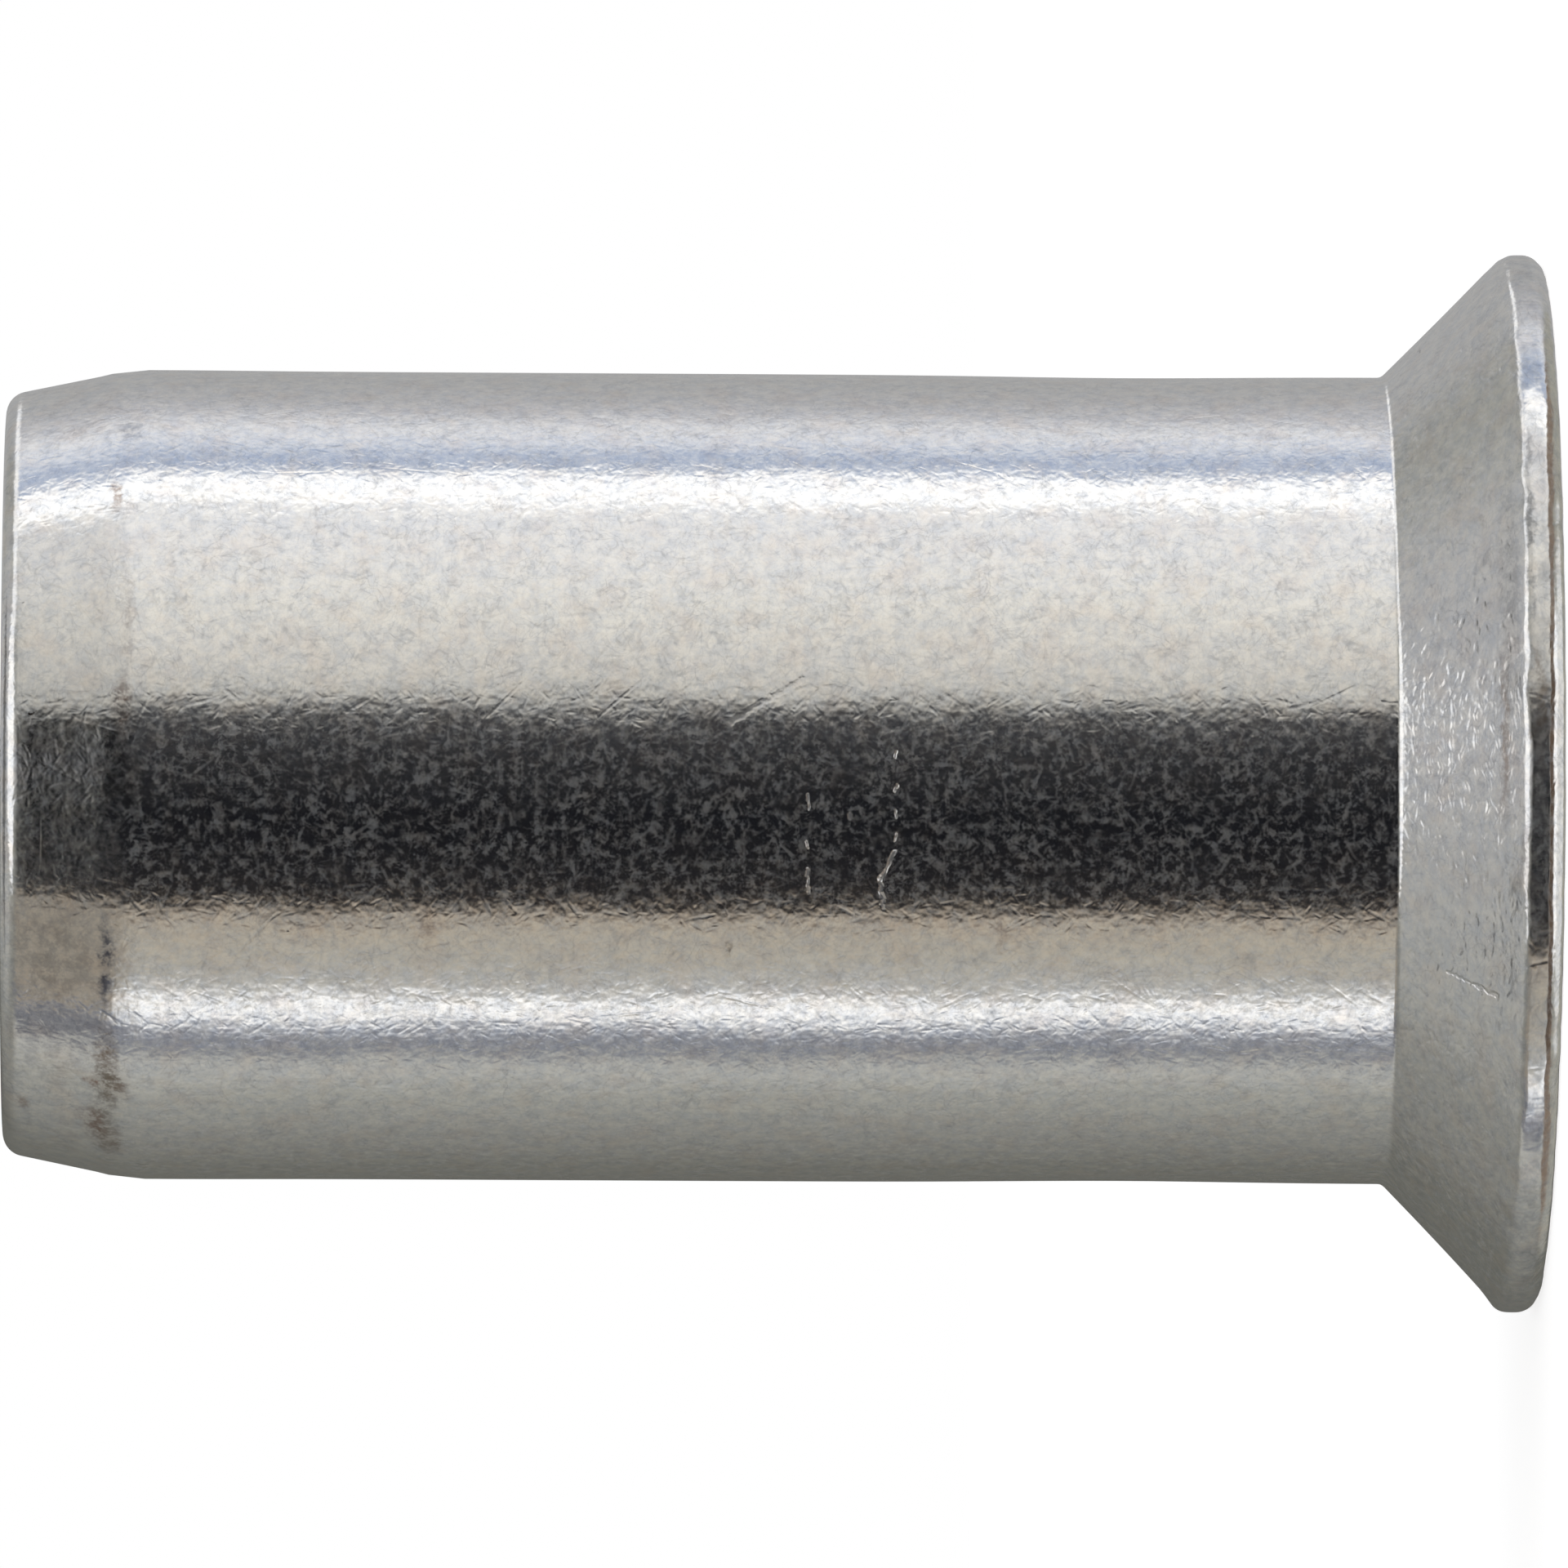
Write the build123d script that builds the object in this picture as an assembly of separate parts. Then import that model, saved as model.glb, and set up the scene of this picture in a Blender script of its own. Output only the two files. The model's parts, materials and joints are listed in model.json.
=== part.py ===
from build123d import *

import os
from math import radians, tan

# Open-end blind rivet nut with a countersunk head, cold formed and bored as one piece of aluminium.
# Frame: origin at the centre of the head's flat face, +Z along the axis to the threaded end, millimetres.

# Outside
overall_length = 17.1          # head face to threaded end face
body_diameter = 9.0            # plain round body, for a 9.1 mm hole
head_diameter = 11.8
countersink_angle = 92.0       # full angle of the cone; a formed head runs up to 2 over a nominal 90
rim_height = 0.40              # upright edge between the cone and the head face
rim_face_round = 0.22          # where the rim meets the head face
rim_cone_round = 0.20          # where the rim meets the cone
neck_round = 0.12              # small fillet where the cone runs into the body
lead_length = 1.38             # slow taper that guides the threaded end into the hole
lead_drop = 0.285              # how much the radius falls along that taper
lead_blend_round = 2.0         # soft change from the body to the taper
end_round = 0.25               # rounded edge of the threaded end

# Inside
sleeve_wall = 0.95             # thin wall that folds into a bulge when the nut is set
mouth_round = 0.22             # rounded edge of the sleeve bore at the head face
shoulder_angle = 120.0         # full angle of the step between sleeve bore and thread
shoulder_round = 0.3           # fillet where the sleeve bore runs into the step
thread_minor_diameter = 5.0    # M6 thread at its crests
thread_major_diameter = 6.0    # M6 thread at its roots
thread_length = 7.6            # from the step to the threaded end face
entry_clearance = 0.12         # how far the entry chamfer opens past the thread's roots
entry_angle = 90.0             # full angle of the entry chamfer
entry_round = 0.08             # broken edge where that chamfer meets the end face

# Worked out from the sizes above
body_radius = body_diameter / 2
head_radius = head_diameter / 2
cone_height = (head_radius - body_radius) / tan(radians(countersink_angle / 2))
head_height = rim_height + cone_height
lead_start = overall_length - lead_length
end_radius = body_radius - lead_drop

sleeve_radius = body_radius - sleeve_wall
minor_radius = thread_minor_diameter / 2
shoulder_top = overall_length - thread_length
shoulder_height = (sleeve_radius - minor_radius) / tan(radians(shoulder_angle / 2))
shoulder_bottom = shoulder_top - shoulder_height
entry_radius = thread_major_diameter / 2 + entry_clearance
entry_depth = (entry_radius - minor_radius) / tan(radians(entry_angle / 2))
entry_start = overall_length - entry_depth


def outer_corners():
    """Corners of the half section up the outside, each as radius, height and the round on it."""
    return [
        (head_radius, 0, rim_face_round),
        (head_radius, rim_height, rim_cone_round),
        (body_radius, head_height, neck_round),
        (body_radius, lead_start, lead_blend_round),
        (end_radius, overall_length, end_round),
    ]


def inner_corners():
    """Corners of the half section down the inside, in the same form."""
    return [
        (entry_radius, overall_length, entry_round),
        (minor_radius, entry_start, 0),
        (minor_radius, shoulder_top, 0),
        (sleeve_radius, shoulder_bottom, shoulder_round),
        (sleeve_radius, 0, mouth_round),
    ]


def half_section():
    """The wall's section on one side of the axis, with its corners rounded."""
    corners = outer_corners() + inner_corners()
    with BuildSketch(Plane.XZ) as section:
        with BuildLine():
            Polyline([(radius, height) for radius, height, size in corners], close=True)
        make_face()
        for radius, height, size in corners:
            if size > 0:
                corner = section.vertices().sort_by_distance((radius, height))[0]
                fillet(corner, size)
    return section.sketch


def rivet_nut():
    """The whole nut: its half section revolved about +Z."""
    with BuildPart() as nut:
        add(half_section())
        revolve(axis=Axis.Z)
    return nut.part


os.makedirs("parts", exist_ok=True)
nut = rivet_nut()
nut.label = "rivet_nut"
export_step(nut, "parts/rivet_nut.step")
print(f"rivet_nut: {nut.volume:.2f} mm3, head {head_height:.2f} mm high, thread from {shoulder_top:.2f} mm")
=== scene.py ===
# %% [markdown]
# # A blind rivet nut
# A rivet nut is a short metal tube with a head at one end and a thread at the other. It goes into a drilled
# hole, a tool pulls the threaded end back, and the thin sleeve between them folds into a bulge that grips
# the sheet. Everything here is one piece of aluminium, so the lesson is about a single, carefully made mesh
# and the finish on it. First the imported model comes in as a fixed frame. It is never moved: it says where
# the nut is and how big it is, and the sizes below are worked out from it where it holds them.

# %% Load the frame
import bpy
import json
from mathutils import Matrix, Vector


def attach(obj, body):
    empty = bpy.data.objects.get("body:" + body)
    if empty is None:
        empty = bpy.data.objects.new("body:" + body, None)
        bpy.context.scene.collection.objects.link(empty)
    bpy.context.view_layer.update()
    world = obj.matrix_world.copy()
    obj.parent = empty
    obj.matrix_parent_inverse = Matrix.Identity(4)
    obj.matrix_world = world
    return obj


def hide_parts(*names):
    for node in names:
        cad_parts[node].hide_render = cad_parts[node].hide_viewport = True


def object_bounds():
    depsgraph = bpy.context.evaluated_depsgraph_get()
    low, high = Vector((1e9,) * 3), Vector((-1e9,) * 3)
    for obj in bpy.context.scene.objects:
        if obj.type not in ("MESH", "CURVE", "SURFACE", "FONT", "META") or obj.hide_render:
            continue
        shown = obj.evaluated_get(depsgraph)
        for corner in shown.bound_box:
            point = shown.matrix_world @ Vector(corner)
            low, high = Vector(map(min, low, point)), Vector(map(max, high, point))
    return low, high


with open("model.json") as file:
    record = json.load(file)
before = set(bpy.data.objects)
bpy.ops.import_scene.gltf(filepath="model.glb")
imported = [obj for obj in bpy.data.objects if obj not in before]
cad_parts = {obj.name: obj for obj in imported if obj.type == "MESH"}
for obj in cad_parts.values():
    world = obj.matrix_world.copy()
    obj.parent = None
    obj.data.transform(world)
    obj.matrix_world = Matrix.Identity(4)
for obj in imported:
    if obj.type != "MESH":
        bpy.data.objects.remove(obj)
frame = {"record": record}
cad_low, cad_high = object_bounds()

import json
import math

import bpy
import numpy as np
from mathutils import Matrix, Vector

MM = 0.001
mounts = {mount["name"]: mount for mount in frame["record"]["mounts"]}

# %% [markdown]
# ## Sizes
# The frame's mounts carry the true radii and places of the body, the sleeve bore, the thread and the cone
# that sits in the countersink. The small rounds that no mount holds are named here in millimetres, with the
# values a maker would put on a drawing.

# %% Sizes from the frame, in millimetres
LENGTH = (cad_high.z - cad_low.z) / MM
HEAD_RADIUS = cad_high.x / MM
BODY_RADIUS = mounts["body"]["dims"]["r_mm"]
SLEEVE_RADIUS = mounts["sleeve_bore"]["dims"]["r_mm"]
CREST_RADIUS = mounts["thread"]["dims"]["r_mm"]
THREAD_START = mounts["thread"]["pos_m"][2] / MM - mounts["thread"]["dims"]["length_mm"] / 2
THREAD_STOP = THREAD_START + mounts["thread"]["dims"]["length_mm"]

# the cone runs up and down from the middle of its seat, at 46 degrees to the axis
CONE_HALF_ANGLE = math.radians(46)
seat_radius, seat_height = (mounts["countersink_seat"]["pos_m"][i] / MM for i in (0, 2))
NECK_HEIGHT = seat_height + (seat_radius - BODY_RADIUS) / math.tan(CONE_HALF_ANGLE)
RIM_HEIGHT = seat_height - (HEAD_RADIUS - seat_radius) / math.tan(CONE_HALF_ANGLE)
print(f"length {LENGTH:.2f}, head {2 * HEAD_RADIUS:.2f}, body {2 * BODY_RADIUS:.2f}, rim {RIM_HEIGHT:.2f}")

# %% Sizes from a drawing, in millimetres
RIM_FACE_ROUND = 0.22
RIM_CONE_ROUND = 0.20
NECK_ROUND = 0.12
LEAD_LENGTH = 1.38
LEAD_DROP = 0.285
LEAD_BLEND_ROUND = 2.0
END_ROUND = 0.25
ENTRY_ROUND = 0.08
SHOULDER_ROUND = 0.3
SHOULDER_ANGLE = math.radians(120)
MOUTH_ROUND = 0.22
PITCH = 1.0
THREAD_DEPTH = 0.5
FLANK_ANGLE = math.radians(60)
print(f"lead taper {LEAD_LENGTH} mm long, thread M{2 * (CREST_RADIUS + THREAD_DEPTH):.0f} x {PITCH}")

# %% [markdown]
# ## The outline
# The nut is round, so all of its form is in one closed outline: radius against height, up the outside and
# down the inside. Drawing it by hand in the viewport and using Blender's Screw modifier would do, but then
# the rounds are guesses. Here each corner is given with its round, and two short functions turn the list
# into points. Every round gets real points, because a highlight runs along each of them on bright metal.

# %% Corners of the outline
THREAD_STEP = PITCH / 15
shoulder_fall = (SLEEVE_RADIUS - CREST_RADIUS) / math.tan(SHOULDER_ANGLE / 2)
entry_radius = CREST_RADIUS + (LENGTH - THREAD_STOP)

# radius, height, round, spacing of the points on the run that follows
CORNERS = [
    (HEAD_RADIUS, 0.0, RIM_FACE_ROUND, 0.05),
    (HEAD_RADIUS, RIM_HEIGHT, RIM_CONE_ROUND, 0.12),
    (BODY_RADIUS, NECK_HEIGHT, NECK_ROUND, 0.42),
    (BODY_RADIUS, LENGTH - LEAD_LENGTH, LEAD_BLEND_ROUND, 0.15),
    (BODY_RADIUS - LEAD_DROP, LENGTH, END_ROUND, 0.15),
    (entry_radius, LENGTH, ENTRY_ROUND, THREAD_STEP),
    (CREST_RADIUS, THREAD_STOP, 0.0, THREAD_STEP),
    (CREST_RADIUS, THREAD_START, 0.0, THREAD_STEP),
    (SLEEVE_RADIUS, THREAD_START - shoulder_fall, SHOULDER_ROUND, 0.6),
    (SLEEVE_RADIUS, 0.0, MOUTH_ROUND, 0.25),
]
print("corners:", len(CORNERS), "of which rounded:", sum(corner[2] > 0 for corner in CORNERS))

# %% From corners to points
ARC_STEP = math.radians(9)


def corner_arc(before, corner, after, size):
    """Points of the round on a corner, or the corner itself where the size is 0.

    The two runs meet at a turn. An arc of radius size touches both of them at a distance of
    size * tan(turn / 2) from the corner. Its points are its centre plus the vector from there to the first
    touching point, turned by each angle from 0 to the whole turn."""
    came = (corner - before) / np.linalg.norm(corner - before)
    goes = (after - corner) / np.linalg.norm(after - corner)
    turn = math.atan2(came[0] * goes[1] - came[1] * goes[0], came @ goes)
    side = math.copysign(1.0, turn) * np.array([-came[1], came[0]])
    centre = corner - size * math.tan(abs(turn) / 2) * came + size * side
    steps = max(1, round(abs(turn) / ARC_STEP)) if size > 0 else 0
    angles = np.linspace(0.0, turn, steps + 1)
    start = -size * side
    return np.stack([
        centre[0] + start[0] * np.cos(angles) - start[1] * np.sin(angles),
        centre[1] + start[0] * np.sin(angles) + start[1] * np.cos(angles),
    ], axis=1)


def rounded_outline(corners):
    """Points (radius, height) of the closed outline: each corner's arc, then evenly spaced points on the
    straight run from there to the next arc."""
    places = np.array([corner[:2] for corner in corners])
    arcs = [
        corner_arc(places[i - 1], places[i], places[(i + 1) % len(places)], corner[2])
        for i, corner in enumerate(corners)
    ]
    points = []
    for arc, following, corner in zip(arcs, arcs[1:] + arcs[:1], corners):
        run = following[0] - arc[-1]
        count = max(1, math.ceil(np.linalg.norm(run) / corner[3]))
        points += [arc, arc[-1] + np.arange(1, count)[:, None] / count * run]
    return np.concatenate(points)


outline = rounded_outline(CORNERS)
print("outline points:", len(outline))

# %% [markdown]
# ## From outline to nut
# The outline is carried round the axis: a grid with one row for each outline point and one column for each
# step of the turn. The Screw modifier would make the same plain revolve, but on a grid of numbers a radius
# can depend on height and turn together. The thread needs that, because it is a helix. It is cut outwards
# from the crests, and it runs out in the step and in the entry chamfer with no seam.

# %% Revolve and thread
COLUMNS = 360
# half of the flat at the root, and what a test on a radius allows for rounding
ROOT_FLAT = PITCH / 16
HAIR = 0.01
turn = np.pi / 2 + np.arange(COLUMNS) * 2 * np.pi / COLUMNS
radius = np.repeat(outline[:, :1], COLUMNS, axis=1)
height = np.repeat(outline[:, 1:], COLUMNS, axis=1)


def thread_radius(height, turn):
    """Radius of the groove's wall. The phase is height / pitch - turn / full turn, less its whole part, so
    it is constant along a right-hand helix. How far a point is from the groove's middle, less half the flat
    at the root, times the tangent of the flank's angle, is how far the flank has come in from the root. It
    is held between root and crest."""
    phase = (height / PITCH - turn / (2 * np.pi)) % 1.0
    from_middle = np.abs(phase - 0.5) * PITCH
    come_in = (from_middle - ROOT_FLAT) * math.tan(FLANK_ANGLE)
    return CREST_RADIUS + THREAD_DEPTH - np.clip(come_in, 0.0, THREAD_DEPTH)


threaded = (radius < entry_radius + HAIR) & (height > THREAD_START - shoulder_fall)
radius = np.where(threaded, np.maximum(radius, thread_radius(height, turn)), radius)
print("thread turns:", round((LENGTH - THREAD_START) / PITCH, 1))

# %% [markdown]
# ## A formed body
# The body is not a perfect cylinder. Forming draws it in by a hair behind the head and leaves it a hair
# proud near the far end. The cone is a hair hollow and a hair out of square. Long reflections on bright
# metal bend at each of these, so they are worth having. Proportional editing would place them by eye. A
# smooth hill on the radius places them in millimetres.

# %% Waist and cone
# radius gained, height of the middle, width
SWELLS = [(-0.022, 4.7, 1.7), (0.008, 15.2, 1.2)]
CONE_HOLLOW = 0.012
CONE_TILT = 0.006
NECK_FADE = 0.4
# all of the outside but the lead taper is past this radius
OUTER_SKIN = BODY_RADIUS - 0.05


def hill(height, middle, width):
    """A smooth hill: e to the power of minus the squared distance from its middle over its width."""
    return np.exp(-(((height - middle) / width) ** 2))


on_body = (radius > OUTER_SKIN) & (height > NECK_HEIGHT)
radius = radius + on_body * sum(size * hill(height, middle, width) for size, middle, width in SWELLS)

up_cone = np.clip((height - RIM_HEIGHT) / (NECK_HEIGHT - RIM_HEIGHT), 0, 1)
on_cone = (radius > OUTER_SKIN) & (height > RIM_HEIGHT) & (height < NECK_HEIGHT)
radius = radius - on_cone * CONE_HOLLOW * np.sin(np.pi * up_cone)
near_neck = (radius > OUTER_SKIN) * up_cone * hill(np.maximum(height - NECK_HEIGHT, 0), 0, NECK_FADE)
height = height + near_neck * CONE_TILT * radius * np.cos(turn)
upright = on_body & (height < LENGTH - LEAD_LENGTH)
print("body radius in mm:", radius[upright].min().round(3), "to", radius[upright].max().round(3))

# %% [markdown]
# ## A pressed rim
# The die squeezes the rim out sideways, and nothing trims it afterwards. Its edges wander: the upper one,
# where the cone ends, by about a hundredth of a millimetre, and the lower one by half of that. Moving the
# points at random would leave them ragged. A sum of waves round the axis is smooth and uneven, and it
# closes on itself with no step.

# %% Rim
RIM_REACH = 0.3
EDGE_WIDTH = 0.12
CORNER_WANDER = 0.010
CORNER_LIFT = 0.012
EDGE_WANDER = 0.005
SIDE_WANDER = 0.002
SIDE_DRAW = 0.003
# lowest and highest number of waves round the rim
EDGE_WAVES = (12, 90)
SIDE_WAVES = (10, 60)
RIM_SEED = 6
rng = np.random.default_rng(RIM_SEED)


def wander(turn, waves, size):
    """A closed uneven line round the axis: a sum of whole waves of random height and phase, from the lowest
    number of waves to the highest, scaled to the given root mean square size."""
    counts = np.arange(waves[0], waves[1] + 1)[:, None]
    heights = rng.normal(size=(len(counts), 1)) / np.sqrt(counts)
    phases = rng.uniform(0, 2 * np.pi, size=(len(counts), 1))
    line = (heights * np.sin(counts * turn + phases)).sum(axis=0)
    return line * size / np.sqrt(np.mean(line ** 2))


on_rim = radius > HEAD_RADIUS - RIM_REACH
corner = on_rim * hill(height, RIM_HEIGHT, EDGE_WIDTH)
edge = on_rim * hill(height, RIM_FACE_ROUND / 2, EDGE_WIDTH)
height = height + corner * (wander(turn, EDGE_WAVES, CORNER_WANDER) + CORNER_LIFT)
height = height + edge * wander(turn, EDGE_WAVES, EDGE_WANDER)
radius = radius + (corner + edge) * (wander(turn, SIDE_WAVES, SIDE_WANDER) - SIDE_DRAW)
height = np.maximum(height, 0.0)
print("rim radius in mm:", radius.max(axis=0).min().round(3), "to", radius.max().round(3))

# %% [markdown]
# ## The grid's points and faces
# Body and head are formed in different dies, so the body sits a little to one side of the head. With that
# shift the points are complete. Each face joins four neighbours. Merging doubles could close the grid
# afterwards, but here its last row and column simply join the first, so there is no seam and no pole. The
# outline runs anticlockwise, so the faces point outwards.

# %% Points and faces
ECCENTRIC = 0.025
SHIFT_RISE = 0.2
shift = ECCENTRIC * np.clip((height - RIM_HEIGHT) / SHIFT_RISE, 0, 1)
nut_points = np.stack([radius * np.cos(turn) + shift, radius * np.sin(turn), height], axis=2) * MM

rows = len(outline)
row, column = np.meshgrid(np.arange(rows), np.arange(COLUMNS), indexing="ij")
next_row, next_column = (row + 1) % rows, (column + 1) % COLUMNS
nut_faces = np.stack([
    row * COLUMNS + column,
    row * COLUMNS + next_column,
    next_row * COLUMNS + next_column,
    next_row * COLUMNS + column,
], axis=2).reshape(-1, 4)
print("nut:", nut_points.size // 3, "points,", 2 * len(nut_faces), "triangles")

# %% Nut mesh


def quad_mesh(name, points, faces):
    """A smooth mesh from an array of points and an array of four-cornered faces, each put in whole."""
    mesh = bpy.data.meshes.new(name)
    mesh.vertices.add(len(points))
    mesh.vertices.foreach_set("co", points.astype(np.float32).ravel())
    mesh.loops.add(faces.size)
    mesh.loops.foreach_set("vertex_index", faces.astype(np.int32).ravel())
    mesh.polygons.add(len(faces))
    mesh.polygons.foreach_set("loop_start", np.arange(0, faces.size, 4, dtype=np.int32))
    mesh.polygons.foreach_set("use_smooth", np.ones(len(faces), dtype=bool))
    mesh.update(calc_edges=True)
    mesh.validate()
    piece = bpy.data.objects.new(name, mesh)
    bpy.context.scene.collection.objects.link(piece)
    return piece


nut = quad_mesh("rivet_nut_body", nut_points.reshape(-1, 3), nut_faces)
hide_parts("rivet_nut")
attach(nut, "root")
print("nut size in mm:", [round(d / MM, 2) for d in nut.dimensions])

# %% [markdown]
# ## A map in millimetres
# The marks on the metal follow its surface, so the grid also gets a UV map. Unwrapping would do, but its
# islands have many seams and no true scale. Here one length is the turn times the body's radius, and the
# other is how much of the outline has been walked, both in millimetres. The one seam runs straight up the
# back, and the patterns are too fine for it to show. A mark's place on the nut, in degrees round from the
# front and height, is looked up in the same two lengths.

# %% Surface map
steps = np.linalg.norm(np.diff(outline, axis=0, append=outline[:1]), axis=1)
walked = np.concatenate([[0.0], np.cumsum(steps)])
around = np.arange(COLUMNS + 1) * 2 * np.pi / COLUMNS * BODY_RADIUS
across = np.stack([around[column], around[column + 1], around[column + 1], around[column]], axis=2)
along = np.stack([walked[row], walked[row], walked[row + 1], walked[row + 1]], axis=2)
layer = nut.data.uv_layers.new(name="surface")
layer.uv.foreach_set("vector", np.stack([across, along], axis=3).astype(np.float32).ravel())

top = int(np.argmax(outline[:, 1]))
outer_height, outer_walked = outline[:top + 1, 1], walked[:top + 1]


def place(side, up):
    """Place in the surface map of a point on the outside: degrees round from the front, and height."""
    across = (math.pi + math.radians(side)) * BODY_RADIUS
    return (across, float(np.interp(up, outer_height, outer_walked)), 0.0)


print("surface map in mm:", around[-1].round(2), "round by", walked[-1].round(2), "along the outline")

# %% [markdown]
# ## Colours and nodes
# Colours are written as the hex values a designer reads off a swatch. Blender's shaders work in linear
# light, so one function takes off the sRGB curve. A second one adds a node with its settings and links.

# %% Colour and node helpers


def colour(hex_value, level=1.0):
    """Linear red, green, blue and alpha of an sRGB hex value, times a brightness level."""
    parts = np.array([int(hex_value[i:i + 2], 16) / 255 for i in (1, 3, 5)])
    linear = np.where(parts <= 0.04045, parts / 12.92, ((parts + 0.055) / 1.055) ** 2.4)
    return (*(linear * level), 1.0)


def add(tree, kind, inputs=None, **settings):
    """Adds a node. Settings are its properties. An input is a value, a socket to link from, or a node whose
    first output is linked."""
    node = tree.nodes.new(kind)
    for name, value in settings.items():
        setattr(node, name, value)
    for name, value in (inputs or {}).items():
        if isinstance(value, bpy.types.Node):
            value = value.outputs[0]
        if isinstance(value, bpy.types.NodeSocket):
            tree.links.new(value, node.inputs[name])
        else:
            node.inputs[name].default_value = value
    return node


def new_material(name):
    """An empty material and its node tree."""
    material = bpy.data.materials.new(name)
    material.use_nodes = True
    material.node_tree.nodes.clear()
    return material, material.node_tree


print("half grey in linear light:", round(float(colour("#808080")[0]), 3))

# %% [markdown]
# ## Tumbled aluminium
# The bare nut is tumbled with thousands of others. That leaves bright metal that mirrors what is round it
# as through a thin veil, with a soft grain and tiny marks that run every way. They break up the edges of
# what the metal mirrors, and put specks of light in its dark parts. An image would blur close up, so
# everything is worked out from the surface map instead, each pattern at a width in millimetres.
#
# The finish grows as three running sums. Height is the relief. Haze is the share of the surface that
# scatters light instead of mirroring it. Dull is how far the colour falls to grey. Each mark adds its own
# amount to them.

# %% Tumbled aluminium: the noises
tumbled, tree = new_material("tumbled_aluminium")
surface = add(tree, "ShaderNodeUVMap", uv_map="surface")

# width in millimetres, detail, roughness; the real grain is finer than shows, so it is drawn wider
NOISES = {
    "grain": (0.110, 1.0, 0.5),
    "waves": (0.900, 1.0, 0.5),
    "spots": (0.130, 4.0, 0.75),
    "clumps": (0.400, 3.0, 0.6),
    "clouds": (0.200, 3.0, 0.8),
    "fray": (0.080, 1.0, 0.5),
    "tear": (0.180, 3.0, 0.7),
}
noise = {
    name: add(tree, "ShaderNodeTexNoise", {
        "Vector": surface, "Scale": 1 / width, "Detail": detail, "Roughness": roughness,
    }, noise_dimensions="2D")
    for name, (width, detail, roughness) in NOISES.items()
}
# nearly all of a noise lies between these values
NOISE_LOW = 0.35
NOISE_HIGH = 0.65
print("noises:", ", ".join(noise))

# %% Grain, waves and spots
GRAIN_HEIGHT = 0.0030
WAVE_HEIGHT = 0.011
SPOT_ROUGHNESS = {"From Min": NOISE_LOW, "From Max": NOISE_HIGH, "To Min": 0.10, "To Max": 0.20}
SPOT_HAZE = {"From Min": 0.46, "From Max": 0.73, "To Min": -0.03, "To Max": 0.15}
finish = {"height": 0.0, "dull": 0.0}


def leave_mark(share, **amounts):
    """Adds a mark to the finish: each sum that is named grows by the mark's share times its amount."""
    for name, amount in amounts.items():
        grown = add(tree, "ShaderNodeMath", {0: share, 1: amount, 2: finish[name]}, operation="MULTIPLY_ADD")
        finish[name] = grown


leave_mark(noise["grain"], height=GRAIN_HEIGHT)
leave_mark(noise["waves"], height=WAVE_HEIGHT)
finish["rough"] = add(tree, "ShaderNodeMapRange", {"Value": noise["spots"], **SPOT_ROUGHNESS})
finish["haze"] = add(tree, "ShaderNodeMapRange", {"Value": noise["spots"], **SPOT_HAZE})
print("relief in mm: grain", GRAIN_HEIGHT, "and waves", WAVE_HEIGHT)

# %% [markdown]
# ## Fibres
# The tumbling stones also drag fine curved scratches over the metal, like loose fibres. Curves laid on the
# mesh would be thousands of pieces. A noise gives them for nothing: the line along which it passes through
# its middle value is long, curved and closed, and a twist in the noise bends it more.

# %% Fibres
# width of the noise in millimetres, half width of the line in noise values, haze, dulling
FIBRES = [
    (0.120, 0.080, 0.020, 0.07),
    (0.190, 0.055, 0.030, 0.10),
    (0.320, 0.034, 0.035, 0.12),
]
FIBRE_TWIST = 0.6
NOISE_MIDDLE = 0.5
# each layer reads the noise at a place of its own
FIBRE_ACROSS = 5.0
FIBRE_ALONG = 9.0

for number, (width, half, hazier, duller) in enumerate(FIBRES):
    shift = (FIBRE_ACROSS + number, FIBRE_ALONG, 0)
    moved = add(tree, "ShaderNodeVectorMath", {0: surface, 1: shift}, operation="ADD")
    field = add(tree, "ShaderNodeTexNoise", {
        "Vector": moved, "Scale": 1 / width, "Detail": 1.0, "Distortion": FIBRE_TWIST,
    }, noise_dimensions="2D")
    away = add(tree, "ShaderNodeMath", {0: field, 1: NOISE_MIDDLE}, operation="SUBTRACT")
    away = add(tree, "ShaderNodeMath", {0: away}, operation="ABSOLUTE")
    fibre = add(tree, "ShaderNodeMapRange", {
        "Value": away, "From Min": half, "From Max": 0.0,
    }, interpolation_type="SMOOTHSTEP")
    leave_mark(fibre, haze=hazier, dull=duller)
print("layers of fibres:", len(FIBRES))

# %% [markdown]
# ## Cone and rim
# The die has rubbed the cone hardest, so it gets deeper marks than the body, and it leaves the rim's
# upright face hazy and grey. Materials of their own would meet at a hard line. A band along the surface map
# fades each in and out.

# %% Bands for the cone and the rim
RIM_HAZE = 0.07
RIM_DULLING = 0.18
# where the bands fade, in millimetres along the outline from the cone's foot, or for its fall, from the neck
CONE_RISE = 0.3
CONE_FALL = 0.15
RIM_RISE = (-0.25, -0.18)
RIM_FALL = (-0.05, 0.05)
up_map = add(tree, "ShaderNodeSeparateXYZ", {"Vector": surface}).outputs["Y"]


def band(rise, fall):
    """1 between two lengths of the outline. It rises from 0 over the first pair of lengths and falls back
    over the second, both with a smooth step."""
    falling = add(tree, "ShaderNodeMapRange", {
        "Value": up_map, "From Min": fall[1], "From Max": fall[0],
    }, interpolation_type="SMOOTHSTEP")
    return add(tree, "ShaderNodeMapRange", {
        "Value": up_map, "From Min": rise[0], "From Max": rise[1], "To Max": falling,
    }, interpolation_type="SMOOTHSTEP")


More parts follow.
